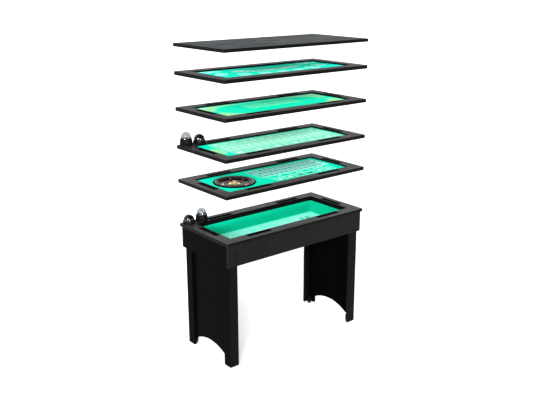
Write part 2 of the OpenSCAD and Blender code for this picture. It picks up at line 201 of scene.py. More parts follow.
def metal(name, color, roughness, brushed=(1, 1, 1)):
    look = Look(name, color, roughness, Metallic=1.0)
    strokes = look.noise(0.0012, 3.0, 0.7, brushed)
    stains = look.remap(look.noise(0.012, 4.0), 0.35, 0.75, 0.0, 0.6)
    tone = look.mix(stains, color, toned(color, 0.6))
    rough = look.remap(strokes, 0.3, 0.7, roughness * 0.7, min(1.0, roughness * 1.4))
    return look.done(Base_Color=tone, Roughness=rough, Normal=look.bump(strokes, 0.00002))


def clear_plastic(name, color, roughness):
    """Blown dome: see-through, with faint scuffs that show in its gloss."""
    look = Look(name, color, roughness, Transmission_Weight=1.0, IOR=1.49)
    scuffs = look.noise(0.004, 5.0, 0.75, (1, 1, 4))
    tone = look.mix(look.remap(scuffs, 0.5, 0.8, 0.0, 0.3), color, toned(color, 0.85))
    rough = look.remap(scuffs, 0.45, 0.8, roughness, roughness + 0.12)
    return look.done(Base_Color=tone, Roughness=rough)


# How much each board's finish reflects, and its pigment. The pigment carries painted light and shade:
# lighter on the rim, frames and cover for a painted sheen on their faces, lighter on the front apron as
# painted light, darker on the left end and its leg sides and darkest on the right end and its leg sides as
# painted shade. The rest have the plain finish
PLAIN = (0.032, grey(0.0015))
FINISH_AND_PAINTED_LIGHT = {
    "rim": (0.060, (0.024, 0.026, 0.027)),
    "apron_front": (0.032, (0.0045, 0.0043, 0.0038)),
    "roulette_frame": (0.042, grey(0.020)),
    "sicbo_frame": (0.020, (0.022, 0.021, 0.022)),
    "poker_frame": (0.010, (0.023, 0.024, 0.024)),
    "blackjack_frame": (0.010, (0.026, 0.027, 0.027)),
    "cover_board": (0.002, (0.024, 0.028, 0.030)),
    "apron_left": (0.006, grey(0.0010)),
    "end_panel_left": (0.006, grey(0.0010)),
    "end_panel_right": (0.003, grey(0.0006)),
}
# The leg side boards share their end's painted shade.
for end in ("left", "right"):
    for depth in ("front", "back"):
        FINISH_AND_PAINTED_LIGHT[f"leg_{depth}_{end}_side"] = FINISH_AND_PAINTED_LIGHT[f"end_panel_{end}"]
LAMINATES = {}


def laminates(finish_and_light, axis):
    """The looks of a board's faces and of its eased edges."""
    if (finish_and_light, axis) not in LAMINATES:
        name = f"black_laminate_{len(LAMINATES)}"
        faces = laminate(name, axis, *finish_and_light, 0.0)
        LAMINATES[finish_and_light, axis] = [faces, laminate(name + "_edge", axis, *finish_and_light, 0.6)]
    return LAMINATES[finish_and_light, axis]


PAINT = painted()
FIBREBOARD = fibreboard()
PINE = pine(0)
PINE_UPRIGHT = pine(2)
TOP_GREEN = (0.0, 0.70, 0.44)
TOP_FELT = felt("turquoise_felt", TOP_GREEN)
# The blackjack felt is the turquoise felt painted brighter: painted light where the cover above shades it.
BLACKJACK_FELT_PAINTED_LIGHT = felt("turquoise_felt_painted_light", (0.0, 0.92, 0.62))
# The well's felt in two copies: its floor lighter as painted light from above, its walls darker as painted
# shade.
FLOOR_FELT_PAINTED_LIGHT = felt("green_felt_painted_light", (0.11, 0.86, 0.66))
WALL_FELT_PAINTED_SHADE = felt("green_felt", (0.0, 0.31, 0.18))
INK_COLORS = {
    "white": (0.66, 0.82, 0.80),
    "chalk": (0.88, 0.96, 0.95),
    "yellow": (0.32, 0.64, 0.29),
    "red": (0.24, 0.04, 0.06),
    "black": (0.02, 0.02, 0.03),
    "mint": (0.18, 0.65, 0.45),
    "pale": (0.11, 0.54, 0.51),
    "pink": (0.66, 0.50, 0.54),
}
INKS = {name: felt(name + "_ink", TOP_GREEN, color) for name, color in INK_COLORS.items()}
BOLT_BLACK = plastic("black_oxide_steel", (0.0012, 0.0012, 0.0013), 0.4, 0.00002, 0.02)
ZINC = metal("zinc_plated_steel", (0.62, 0.62, 0.60), 0.3)
SPRING = metal("sprung_steel", (0.58, 0.58, 0.60), 0.25, (6, 1, 1))
CHROME = metal("chrome", (0.80, 0.80, 0.82), 0.08)
BRUSHED = metal("brushed_nickel", (0.36, 0.35, 0.34), 0.38)
BRASS = metal("brass", (0.78, 0.66, 0.38), 0.28)
CONE_BRASS = metal("dull_brass", (0.34, 0.27, 0.14), 0.34)
FOOT_BLACK = plastic("black_nylon", (0.018, 0.018, 0.019), 0.55, 0.00004)
GLOSS_BLACK = plastic("gloss_black_plastic", grey(0.001), 0.30, gloss=0.03)
# Screw steel coloured black, not zinc: painted shade, so the screws sink into the shaded inside of the end
# panels.
SCREW_PAINTED_SHADE = plastic("screw_steel_painted_shade", grey(0.002), 0.35, 0.00002, 0.03)
CAP_BLACK = plastic("black_cap_plastic", grey(0.001), 0.5, 0.00003, 0.02)
BOWL_BROWN = plastic("dark_walnut_plastic", (0.004, 0.002, 0.002), 0.14, 0.00002, 0.2)
# Dark plastic with a painted sheen: the flange's lighter brown-grey, purple-tinged tone stands in for its
# reflection.
FLANGE_PAINTED_SHEEN = plastic("flange_plastic_painted_sheen", (0.018, 0.013, 0.016), 0.26, 0.00003)
ROTOR_BROWN = plastic("mahogany_plastic", (0.012, 0.005, 0.004), 0.18, 0.00002, 0.2)
POCKET_GREEN = plastic("pocket_green", (0.0, 0.20, 0.05), 0.25)
POCKET_RED = plastic("pocket_red", (0.14, 0.004, 0.006), 0.25, gloss=0.2)
POCKET_BLACK = plastic("pocket_black", grey(0.003), 0.25, gloss=0.2)
FIGURE_WHITE = plastic("figure_white", (0.46, 0.45, 0.42), 0.4)
BALL_WHITE = plastic("ball_white", (0.88, 0.87, 0.83), 0.12)
# The dice are light grey, not white: painted shade, as they look inside the domes.
DIE_WHITE_PAINTED_SHADE = plastic("die_white_painted_shade", (0.60, 0.60, 0.58), 0.25)
PIP_BLACK = plastic("pip_black", (0.01, 0.01, 0.012), 0.3)
CLEAR = clear_plastic("clear_dome_plastic", (0.50, 0.53, 0.55), 0.03)
SMOKED = clear_plastic("smoked_dome_plastic", (0.024, 0.024, 0.030), 0.10)


# ---- places and pieces ----

def shift(x, y, z):
    """A move in millimetres."""
    return Matrix.Translation((x * MM, y * MM, z * MM))


def spin(degrees, axis="Z"):
    return Matrix.Rotation(math.radians(degrees), 4, axis)


def aimed(at, way):
    """A place at a point, its +Z along a direction."""
    return Matrix.Translation(at) @ way.to_track_quat("Z", "Y").to_matrix().to_4x4()


def upright(node):
    """The middle of a round node's underside as a place, and its radius and height in millimetres."""
    low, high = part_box(node)
    place = Matrix.Translation(((low.x + high.x) / 2, (low.y + high.y) / 2, low.z))
    return place, (high.x - low.x) / 2 / MM, (high.z - low.z) / MM


def linked(name, data):
    """A new object in the scene."""
    obj = bpy.data.objects.new(name, data)
    bpy.context.scene.collection.objects.link(obj)
    return obj


def mesh_of(bm, name, looks):
    """A mesh that faces outwards. The bmesh is used up."""
    bmesh.ops.recalc_face_normals(bm, faces=bm.faces)
    mesh = bpy.data.meshes.new(name)
    bm.to_mesh(mesh)
    bm.free()
    for look in looks:
        mesh.materials.append(look)
    return mesh


def evaluated(obj):
    """A mesh of an object's text, or of its shape with the modifiers applied."""
    bpy.context.view_layer.update()
    return bpy.data.meshes.new_from_object(obj.evaluated_get(bpy.context.evaluated_depsgraph_get()))


def piece(name, bm, body, looks, nodes=(), smooth=32):
    """A piece from a bmesh drawn in the frame. Edges sharper than smooth degrees stay sharp."""
    mesh = mesh_of(bm, name, looks)
    mesh.shade_smooth()
    mesh.set_sharp_from_angle(angle=math.radians(smooth))
    obj = linked(name, mesh)
    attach(obj, body)
    if nodes:
        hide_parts(*nodes)
    return obj


def stand_in(node, ending, bm, looks, smooth=32):
    """A piece that takes the place of one CAD node, on its body."""
    return piece(f"{node}_{ending}", bm, BODY_OF[node], looks, [node], smooth)


def lathed(node, ending, looks, shapes, count=64, bands=None, loop=False, smooth=32):
    """A stand-in for a node, turned from a (place, profile) for each of its solids."""
    bm = bmesh.new()
    for place, profile in shapes:
        turned(bm, profile, place, count, bands, loop)
    stand_in(node, ending, bm, looks, smooth)


def lathed_each(node, ending, look, shape, count=64, loop=False, smooth=32):
    """A stand-in for a node of upright round solids, each turned to its shape(radius, height)."""
    shapes = []
    for middle, size in solids(node):
        under = Matrix.Translation((middle.x, middle.y, middle.z - size.z / 2))
        shapes.append((under, shape(size.x / 2 / MM, size.z / MM)))
    lathed(node, ending, [look], shapes, count, None, loop, smooth)


def welded(node):
    """A CAD node's mesh with its faces joined up."""
    bm = bmesh.new()
    bm.from_mesh(NODES[node].data)
    bmesh.ops.remove_doubles(bm, verts=bm.verts, dist=1e-6)
    return bm


def solids(node):
    """(middle, size) of each separate solid in a CAD node, in order along X, then Y, then Z."""
    bm = welded(node)
    left, found = set(bm.verts), []
    while left:
        group, edge = set(), [left.pop()]
        while edge:
            vert = edge.pop()
            group.add(vert.co.copy().freeze())
            joined = {e.other_vert(vert) for e in vert.link_edges} & left
            left -= joined
            edge.extend(joined)
        low = Vector(map(min, *group))
        high = Vector(map(max, *group))
        found.append(((low + high) / 2, high - low))
    bm.free()
    return sorted(found, key=lambda s: [round(c, 4) for c in s[0]])


def cut(obj, cutter_bm):
    """Takes the cutter's shape out of obj for good."""
    mesh = mesh_of(cutter_bm, "cutter", obj.data.materials)
    cutter = linked("cutter", mesh)
    step = obj.modifiers.new("cut", "BOOLEAN")
    step.operation = "DIFFERENCE"
    step.object = cutter
    found = evaluated(obj)
    obj.modifiers.remove(step)
    old = obj.data
    obj.data = found
    found.name = obj.name
    bpy.data.objects.remove(cutter)
    bpy.data.meshes.remove(old)
    bpy.data.meshes.remove(mesh)


# ---- shapes ----

def skin(bm, a, b, closed=True):
    """Faces between two lines of as many points."""
    for i in range(len(a) if closed else len(a) - 1):
        j = (i + 1) % len(a)
        bm.faces.new((a[i], a[j], b[j], b[i]))


def turned(bm, profile, place=Matrix(), count=64, looks=None, loop=False):
    """Lathes a profile of (radius, height) points about Z. A radius may be a function of the angle,
    and the look of a band a function of the step round."""
    rings = []
    for radius, height in profile:
        if radius == 0:
            rings.append([bm.verts.new(place @ Vector((0, 0, height * MM)))])
            continue
        ring = []
        for i in range(count):
            a = math.tau * i / count
            r = (radius(a) if callable(radius) else radius) * MM
            ring.append(bm.verts.new(place @ Vector((r * math.cos(a), r * math.sin(a), height * MM))))
        rings.append(ring)
    for band, (low, high) in enumerate(zip(rings, rings[1:] + (rings[:1] if loop else []))):
        for i in range(count if len(low) + len(high) > 2 else 0):
            j = (i + 1) % count
            if len(low) == 1:
                corners = low[0], high[j], high[i]
            elif len(high) == 1:
                corners = low[i], low[j], high[0]
            else:
                corners = low[i], low[j], high[j], high[i]
            face = bm.faces.new(corners)
            if looks:
                look = looks[band]
                face.material_index = look(i) if callable(look) else look


def polygon_ring(sides, radius):
    """Radius by angle of a regular polygon with its corners at radius."""
    half = math.pi / sides
    return lambda a: radius * math.cos(half) / math.cos((a + half) % (2 * half) - half)


def cross_ring(arm, half_width):
    """Radius by angle of a four-armed cross, as in a driver recess."""
    def radius(a):
        off = abs((a + math.pi / 4) % (math.pi / 2) - math.pi / 4)
        return arm / math.cos(off) if math.tan(off) * arm < half_width else half_width / math.sin(off)
    return radius


def ribbed(radius, ribs, depth):
    """Radius by angle of a round with shallow ribs."""
    return lambda a: radius + depth * (0.5 + 0.5 * math.cos(ribs * a))


def rounded_cube(bm, place, size, edge, segments):
    """Adds a box with rounded edges, its size and their radius in millimetres."""
    made = bmesh.ops.create_cube(bm, size=1, matrix=place @ Matrix.Diagonal((*[s * MM for s in size], 1)))
    edges = list({e for v in made["verts"] for e in v.link_edges})
    bmesh.ops.bevel(bm, geom=edges, offset=edge * MM, segments=segments, profile=0.5, affect="EDGES")


def prism(bm, outline, low, high):
    """A closed flat shape between two heights in metres, from its outline in millimetres."""
    under, over = [[bm.verts.new((x * MM, y * MM, z)) for x, y in outline] for z in (low, high)]
    bm.faces.new(under[::-1])
    bm.faces.new(over)
    skin(bm, under, over)


def strip(bm, left, right, closed, low, high):
    """A closed flat strip between two lines of as many points, between two heights in metres."""
    edges = ((left, low), (right, low), (right, high), (left, high))
    lines = [[bm.verts.new((x * MM, y * MM, z)) for x, y in line] for line, z in edges]
    for a, b in zip(lines, lines[1:] + lines[:1]):
        skin(bm, a, b, closed)
    if not closed:
        for i in (0, -1):
            bm.faces.new([line[i] for line in lines])


def offset_line(points, distance, closed):
    """The line beside a line, mitred at its corners."""
    found = []
    for i, (x, y) in enumerate(points):
        ways = []
        for a, b in ((i - 1, i), (i, i + 1)):
            if closed or 0 <= a and b < len(points):
                (ax, ay), (bx, by) = points[a], points[b % len(points)]
                way = Vector((bx - ax, by - ay)).normalized()
                ways.append(Vector((-way.y, way.x)))
        normal = (ways[0] + ways[-1]).normalized()
        reach = distance / max(0.3, normal.dot(ways[0]))
        found.append((x + normal.x * reach, y + normal.y * reach))
    return found


def box(x0, y0, x1, y1):
    return [(x0, y0), (x1, y0), (x1, y1), (x0, y1)]


def arc(x, y, radius_x, radius_y, start, end, steps):
    """Points along part of an ellipse, angles in degrees."""
    turns = [math.radians(start + (end - start) * i / steps) for i in range(steps + 1)]
    return [(x + radius_x * math.cos(a), y + radius_y * math.sin(a)) for a in turns]


def rounded(x, y, half_x, half_y, radius):
    """A box with rounded corners, as a closed line with five points to a corner."""
    points = []
    in_x, in_y = half_x - radius, half_y - radius
    for sx, sy, start in ((1, 1, 0), (-1, 1, 90), (-1, -1, 180), (1, -1, 270)):
        points += arc(x + sx * in_x, y + sy * in_y, radius, radius, start, start + 90, 4)
    return points


GLYPHS = {}


def glyph(character):
    """(points, faces, width) of a figure in the built-in typeface, one unit high and thick."""
    if character not in GLYPHS:
        curve = bpy.data.curves.new("glyph", "FONT")
        curve.body = character
        curve.extrude = 0.5
        curve.resolution_u = 2
        obj = linked("glyph", curve)
        mesh = evaluated(obj)
        bm = bmesh.new()
        bm.from_mesh(mesh)
        bmesh.ops.remove_doubles(bm, verts=bm.verts, dist=1e-5)
        bm.verts.index_update()
        low = Vector(map(min, *[v.co for v in bm.verts]))
        high = Vector(map(max, *[v.co for v in bm.verts]))
        tall = high.y - low.y
        points = [((v.co.x - low.x) / tall, (v.co.y - low.y) / tall, v.co.z + 0.5) for v in bm.verts]
        faces = [[v.index for v in face.verts] for face in bm.faces]
        GLYPHS[character] = points, faces, (high.x - low.x) / tall
        bm.free()
        bpy.data.objects.remove(obj)
        bpy.data.curves.remove(curve)
        bpy.data.meshes.remove(mesh)
    return GLYPHS[character]


def figures(bm, text, place, height):
    """Writes a number, its height in millimetres, centred on the place and facing the place's +Z."""
    gap, thick = 0.14, 0.12
    glyphs = [glyph(character) for character in text]
    x = -(sum(width for _, _, width in glyphs) + gap * (len(text) - 1)) / 2
    size = height * MM
    for points, faces, width in glyphs:
        verts = [
            bm.verts.new(place @ Vector(((x + px) * size, (py - 0.5) * size, pz * thick * MM)))
            for px, py, pz in points
        ]
        for face in faces:
            bm.faces.new([verts[i] for i in face])
        x += width + gap


# ---- boards ----

FACE, EASED, SIDE, TROUGH = range(4)


def in_trough(face, low, high):
    """Whether a face of a board is inside a chip trough: its round bottom, or one of its flat ends."""
    if face.normal.z > 0.05:
        return face.calc_center_median().z < high.z - 0.05 * MM
    if len(face.verts) <= 6 or abs(face.normal.z) >= 0.1:
        return False
    return min(v.co.z for v in face.verts) > low.z + 5 * MM


def board(node, looks, edge=0.9):
    """A board with its long edges eased by so many millimetres. A game board has all four looks."""
    bm = welded(node)
    bmesh.ops.dissolve_limit(bm, angle_limit=math.radians(0.5), verts=bm.verts, edges=bm.edges)
    low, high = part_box(node)
    if len(looks) > TROUGH:
        for face in bm.faces:
            part = SIDE if abs(face.normal.z) < 0.5 else FACE
            face.material_index = TROUGH if in_trough(face, low, high) else part
    sharp = [
        e for e in bm.edges
        if len(e.link_faces) == 2 and e.calc_face_angle(0) > math.radians(30) and e.calc_length() > 8 * MM
        and all(face.material_index != TROUGH for face in e.link_faces)
    ]
    bmesh.ops.bevel(
        bm, geom=sharp, offset=edge * MM, offset_type="OFFSET", segments=2, profile=0.5,
        affect="EDGES", material=EASED, clamp_overlap=False,
    )
    obj = stand_in(node, "board", bm, looks)
    for polygon in obj.data.polygons:
        polygon.use_smooth = polygon.material_index in (EASED, TROUGH)


GRAIN = {
    "rim": 0, "apron_front": 0, "apron_back": 0, "apron_left": 1, "apron_right": 1,
    "well_wall_front": 0, "well_wall_back": 0, "well_wall_left": 1, "well_wall_right": 1,
    "end_panel_left": 2, "end_panel_right": 2, "cover_board": 0, "foot_blocks": 2,
}
GRAIN.update({top + "_frame": 0 for top in TOPS})
GRAIN.update({n: 2 for n in NODES if n.startswith("leg_") and n != "leg_bolts"})
GAME_BOARDS = ["rim", "cover_board"] + [top + "_frame" for top in TOPS]
# On the game boards the painted tone lies on the flat faces and eased edges; the upright sides take the
# plain look.
for node, axis in GRAIN.items():
    looks = laminates(FINISH_AND_PAINTED_LIGHT.get(node, PLAIN), axis)
    board(node, looks + [laminates(PLAIN, axis)[0], PAINT] if node in GAME_BOARDS else looks)
for node in ["well_floor"] + [top + "_panel" for top in TOPS]:
    board(node, [FIBREBOARD, FIBREBOARD], 0.5)
board("pine_strips", [PINE, PINE], 1.2)
board("corner_blocks", [PINE_UPRIGHT, PINE_UPRIGHT], 1.5)


# ---- felts ----

WHEEL, WHEEL_R, _ = upright("wheel_bowl")
WHEEL.translation.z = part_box("roulette_felt")[1].z
ROTOR_R = upright("wheel_rotor")[1]
HOLE_R = WHEEL_R - 11
FELT_GRID = 10
WALL_FELT_THICK = 1.5


def bumpy(point, size, depth):
    """A gentle rise or fall at a point, as glued felt has."""
    return depth * noise.noise(Vector(point) / size)


def flat_felt(node, look):
    """Felt laid flat: a closed sheet with a softly uneven face."""
    low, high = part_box(node)
    wide, deep = high.x - low.x, high.y - low.y
    columns = round(wide / (FELT_GRID * MM))
    rows = round(deep / (FELT_GRID * MM))
    bm = bmesh.new()
    grid = {}
    for level, z in enumerate((low.z, high.z)):
        for i in range(columns + 1):
            for j in range(rows + 1):
                x = low.x + wide * i / columns
                y = low.y + deep * j / rows
                inside = 0 < i < columns and 0 < j < rows
                rise = bumpy((x, y, 0), 0.06, 0.10 * MM) if level and inside else 0
                grid[level, i, j] = bm.verts.new((x, y, z + rise))
    for i in range(columns):
        for j in range(rows):
            for level in (0, 1):
                corners = [grid[level, a, b] for a, b in box(i, j, i + 1, j + 1)]
                bm.faces.new(corners if level else corners[::-1])
    border = [(i, 0) for i in range(columns)] + [(columns, j) for j in range(rows)]
    border += [(columns - i, rows) for i in range(columns)] + [(0, rows - j) for j in range(rows)]
    skin(bm, [grid[0, i, j] for i, j in border], [grid[1, i, j] for i, j in border])
    obj = stand_in(node, "sheet", bm, [look])
    return obj


def well_line(half_x, half_y, radius):
    """A closed line round the well: five points to a corner, and finer steps along the sides."""
    bends = rounded(0, 0, half_x, half_y, radius)
    line = []
    for i, point in enumerate(bends):
        line.append(point)
        if i % 5 == 4:
            (x0, y0), (x1, y1) = point, bends[(i + 1) % len(bends)]
            steps = 24 if i % 10 == 9 else 60
            line += [(x0 + (x1 - x0) * k / steps, y0 + (y1 - y0) * k / steps) for k in range(1, steps)]
    return line


def wall_felt():
    """Felt glued round the well: one strip that turns the corners on a small radius."""
    low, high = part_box("wall_felt")
    rows = 9
    bm = bmesh.new()
    rings = []
    for inset in (WALL_FELT_THICK, 0):
        line = well_line(high.x / MM - inset, high.y / MM - inset, 5 + WALL_FELT_THICK - inset)
        for row in range(rows + 1):
            z = low.z + (high.z - low.z) * row / rows
            ring = []
            for x, y in line:
                x, y = x * MM, y * MM
                rise = bumpy((x, y, z), 0.05, 0.25 * MM) if inset and 0 < row < rows else 0
                ring.append(bm.verts.new((x * (1 - rise / high.x), y * (1 - rise / high.y), z)))
            rings.append(ring)
    order = rings[: rows + 1] + rings[rows + 1:][::-1]
    for a, b in zip(order, order[1:] + order[:1]):
        skin(bm, a, b)
    obj = stand_in("wall_felt", "sheet", bm, [WALL_FELT_PAINTED_SHADE])


for top in TOPS:
    # The blackjack top takes the felt painted brighter against the cover's shade.
    look = BLACKJACK_FELT_PAINTED_LIGHT if top == "blackjack" else TOP_FELT
    sheet = flat_felt(top + "_felt", look)
    if top == "roulette":
        hole = bmesh.new()
        turned(hole, [(0, -10), (HOLE_R, -10), (HOLE_R, 10), (0, 10)], WHEEL, 96)
        cut(sheet, hole)
# The well's floor and wall felts carry painted light and painted shade.
flat_felt("floor_felt", FLOOR_FELT_PAINTED_LIGHT)
wall_felt()


# ---- printed layouts ----

SPOTS = {
    1: [(0, 0)],
    2: [(-1, -1), (1, 1)],
    3: [(-1, -1), (0, 0), (1, 1)],
    4: [(-1, -1), (-1, 1), (1, -1), (1, 1)],
    5: [(-1, -1), (-1, 1), (1, -1), (1, 1), (0, 0)],
    6: [(-1, -1), (-1, 0), (-1, 1), (1, -1), (1, 0), (1, 1)],
}
REDS = {1, 3, 5, 7, 9, 12, 14, 16, 18, 19, 21, 23, 25, 27, 30, 32, 34, 36}
SPOTS_BEFORE_DEALER = [(0, -118, 0), (150, -104, 12), (292, -62, 24), (420, 16, 40)]


class Layout:
    """The print on one felt, from the table's middle: one piece for each ink. Each kind of mark
    stands a little higher than those it may lie on."""

    UNDER, AREA, FIGURE, LINE = -0.20 * MM, 0.14 * MM, 0.16 * MM, 0.20 * MM

    def __init__(self, name, node):
        self.name, self.node = name, node
        self.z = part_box(node)[1].z
        self.inks = {}

    def ink(self, color):
        return self.inks.setdefault(color, bmesh.new())

    def area(self, color, outline, lift=0.0):
        prism(self.ink(color), outline, self.z + self.UNDER, self.z + self.AREA + lift * MM)

    def ground(self, color, x0, y0, x1, y1):
        """A wash of ink that other marks lie on."""
        self.area(color, box(x0, y0, x1, y1), -0.05)

    def line(self, color, points, width, closed=False):
        left = offset_line(points, width / 2, closed)
        right = offset_line(points, -width / 2, closed)
        strip(self.ink(color), left, right, closed, self.z + self.UNDER, self.z + self.LINE)

    def cell(self, x0, y0, x1, y1, width=5):
        """A white box with its line just inside it, so that cells side by side share one line."""
        inset = width / 4
        self.line("white", box(x0 + inset, y0 + inset, x1 - inset, y1 - inset), width / 2, True)

    def number(self, color, number, x, y, size, turn=0):
        place = Matrix.Translation((x * MM, y * MM, self.z + self.FIGURE)) @ spin(turn)
        figures(self.ink(color), str(number), place, size)

    def oval(self, color, x, y, half_x, half_y, lift=0.0):
        self.area(color, arc(x, y, half_x, half_y, 0, 345, 23), lift)

    def diamond(self, color, x, y, half_x, half_y, lift=0.0):
        self.area(color, [(x + half_x, y), (x, y + half_y), (x - half_x, y), (x, y - half_y)], lift)

    def die(self, x, y, size, spots, pip="mint"):
        """A printed die face with its spots."""
        h = size / 2
        self.area("white", box(x - h, y - h, x + h, y + h))
        z = self.z + self.AREA
        for px, py in SPOTS[spots]:
            outline = arc(x + px * size * 0.27, y + py * size * 0.27, size * 0.1, size * 0.1, 0, 315, 7)
            prism(self.ink(pip), outline, z - 0.05 * MM, z + 0.06 * MM)

    def done(self):
        for color, bm in self.inks.items():
            look = INKS[color]
            piece(f"{self.name}_print_{color}", bm, BODY_OF[self.node], [look])


def columns_of(left, right, count):
    """The (low, middle, high) of each of some equal columns."""
    step = (right - left) / count
    return [(left + k * step, left + (k + 0.5) * step, left + (k + 1) * step) for k in range(count)]


def print_roulette():
    """Number grid in three rows of twelve, with the zeros, columns, dozens and even-money boxes."""
    page = Layout("roulette", "roulette_felt")
    left, right, row, under, low, ends = -86, 454, 64, -26, 66, 44
    page.ground("pale", left - ends, under, right + ends, under + 3 * row)
    for column, (x0, x, x1) in enumerate(columns_of(left, right, 12)):
        for line in range(3):
            number = 3 * column + 3 - line
            y = under + (2.5 - line) * row
            page.cell(x0, y - row / 2, x1, y + row / 2)
            page.oval("red" if number in REDS else "black", x, y, 9, 15)
            page.number("white", number, x, y, 13, -90)
    for i, zeros in enumerate(("0", "00")):
        y0 = under + i * 1.5 * row
        page.cell(left - ends, y0, left, y0 + 1.5 * row)
        page.number("black", zeros, left - ends / 2, y0 + 0.75 * row, 22, -90)
    for line in range(3):
        y0 = under + line * row
        page.cell(right, y0, right + ends, y0 + row)
        page.diamond("white", right + ends / 2, y0 + row / 2, 13, 20)
    for dozen, (x0, x, x1) in enumerate(columns_of(left, right, 3)):
        page.cell(x0, under - low, x1, under)
        for k in range(dozen + 1):
            page.diamond("white", x + (k - dozen / 2) * 34, under - low / 2, 12, 14)
    y = under - 1.5 * low
    marks = ["oval", "white", "red", "black", "white", "oval"]
    for mark, (x0, x, x1) in zip(marks, columns_of(left, right, 6)):
        page.cell(x0, y - low / 2, x1, y + low / 2)
        if mark == "oval":
            page.oval("white", x, y, 24, 12)
        else:
            page.diamond(mark, x, y, 26, 14)
    page.done()


def print_sicbo():
    """Rows of boxes over the whole felt: doubles, totals, pairs and single dice."""
    page = Layout("sicbo", "sicbo_felt")
    left, right, top = -430, 512, 180
    page.ground("mint", left, -top, right, top)
    page.oval("mint", left - 44, -14, 34, 96)
    page.oval("yellow", left - 44, -14, 25, 78, 0.05)
    for k, (x0, x, x1) in enumerate(columns_of(left, right, 12)):
        page.cell(x0, 100, x1, top, 4)
        for line in range(2 if k < 3 or k > 8 else 3):
            page.die(x, 162 - line * 23, 18, k % 6 + 1)
    for k, (x0, x, x1) in enumerate(columns_of(left, right, 14)):
        page.cell(x0, 28, x1, 100, 4)
        page.number("white", k + 4, x, 74, 28)
        page.oval("white", x, 44, 18, 6)
    pairs = [(a, b) for a in range(1, 7) for b in range(a + 1, 7)]
    for (a, b), (x0, x, x1) in zip(pairs, columns_of(left, right, len(pairs))):
        page.cell(x0, -60, x1, 28, 4)
        page.die(x, 4, 26, a)
        page.die(x, -34, 26, b)
    for k, (x0, x, x1) in enumerate(columns_of(left, right, 6)):
        page.cell(x0, -top, x1, -60, 4)
        page.die(x - 28, -120, 44, k + 1)
        page.number("white", k + 1, x + 38, -120, 50)
    page.done()


def print_poker():
    """Plain oval inside filled corners and edge bands, with five card boxes in its middle."""
    page = Layout("poker", "poker_felt")
    half_x, half_y, round_x, edge_x, edge_y = 452, 164, 190, 512, 188
    for sx in (-1, 1):
        for sy in (-1, 1):
            curve = arc(half_x - round_x, 0, round_x, half_y, 14, 84, 20)
            curve = [(half_x, 36), *curve, (200, half_y + 2), (200, edge_y), (edge_x, edge_y), (edge_x, 36)]
            page.area("yellow", [(sx * x, sy * y) for x, y in curve])
            for x, y, size in ((28, 22, 15), (62, 18, 10), (22, 56, 10), (92, 15, 7), (18, 86, 7)):
                page.diamond("white", sx * (edge_x - x), sy * (edge_y - y), size, size * 0.8, 0.05)
            curl = arc(edge_x - 40, edge_y - 40, 30, 22, 30, 250, 12)
            page.line("white", [(sx * x, sy * y) for x, y in curl], 3)
    for sy in (-1, 1):
        page.line("mint", [(-198, sy * 179), (198, sy * 179)], 12)
        page.line("mint", [(-198, sy * 167), (198, sy * 167)], 3)
    oval = arc(half_x - round_x, 0, round_x - 8, half_y - 8, -90, 90, 24)
    oval += arc(round_x - half_x, 0, round_x - 8, half_y - 8, 90, 270, 24)
    page.line("mint", oval, 3, True)
    for k in range(5):
        x, y = 15 + (k - 2) * 90, 42
        page.line("yellow", rounded(x, y, 28, 56, 6), 11, True)
        page.diamond("yellow", x, y, 8, 14)
    page.done()


def spun(point, x, y, degrees):
    """A point turned about the origin, then moved."""
    a = math.radians(degrees)
    px, py = point
    return x + px * math.cos(a) - py * math.sin(a), y + px * math.sin(a) + py * math.cos(a)


def print_blackjack():
    """Curved ribbons in front of the dealer, seven betting spots and corner marks."""
    page = Layout("blackjack", "blackjack_felt")
    centre = 560
    for radius, width, color in ((566, 7, "chalk"), (512, 7, "chalk"), (480, 5, "mint"), (440, 9, "mint")):
        page.line(color, arc(0, centre, radius * 1.05, radius, 240, 300, 44), width)
    for k in range(27):
        a = math.radians(243 + 2.08 * k)
        color = "pink" if k % 2 else "chalk"
        page.diamond(color, 566 * math.cos(a), centre + 539 * math.sin(a), 12, 17)
    for x, y, turn in SPOTS_BEFORE_DEALER:
        for sx in (-1, 1) if x else (1,):
            spot = [spun(point, sx * x, y, sx * turn) for point in rounded(0, 0, 34, 46, 10)]
            page.line("chalk", spot, 7, True)
            page.line("chalk", arc(sx * x, y, 18, 18, 0, 345, 23), 5, True)
            page.diamond("pink", sx * x, y, 8, 11)
    for sx in (-1, 1):
        page.line("chalk", rounded(sx * 418, 152, 76, 24, 8), 6, True)
        page.diamond("chalk", sx * 418, 152, 22, 12)
    page.done()


def print_craps():
    """Two-ended dice layout: pass bar, point boxes, field, and proposition boxes in the middle."""
    page = Layout("craps", "floor_felt")
    half_x, half_y = 500, 172
    page.line("white", rounded(0, 0, half_x, half_y, 40), 6, True)
    page.line("white", rounded(0, 0, half_x - 26, half_y - 24, 26), 6, True)
    for sx in (-1, 1):
        for k, number in enumerate((4, 5, 6, 8, 9, 10)):
            x0 = sx * 118 + (k if sx > 0 else -k - 1) * 54
            page.cell(x0, 74, x0 + 54, 138)
            page.number("black" if sx > 0 and k > 3 else "white", number, x0 + 27, 106, 40)
        a, b = sorted((sx * 118, sx * 442))
        page.cell(a, 6, b, 74)
        page.cell(a, -70, b, 6)
        page.diamond("white", (a + b) / 2, 40, 60, 16)
        for k, number in enumerate((2, 3, 4, 9, 10, 11, 12)):
            page.number("white", number, a + 30 + 44 * k, -32, 24)
        page.cell(a, -138, b, -70)
        page.diamond("white", (a + b) / 2, -104, 90, 9)
    for line, spots in enumerate((3, 5, 4, 2)):
        for column, other in enumerate((spots, 7 - spots)):
            x0, y0 = -84 + column * 84, 70 - line * 52
            page.cell(x0, y0, x0 + 84, y0 + 52)
            page.die(x0 + 28, y0 + 26, 22, spots, "black")
            page.die(x0 + 56, y0 + 26, 22, other, "black")
    page.done()


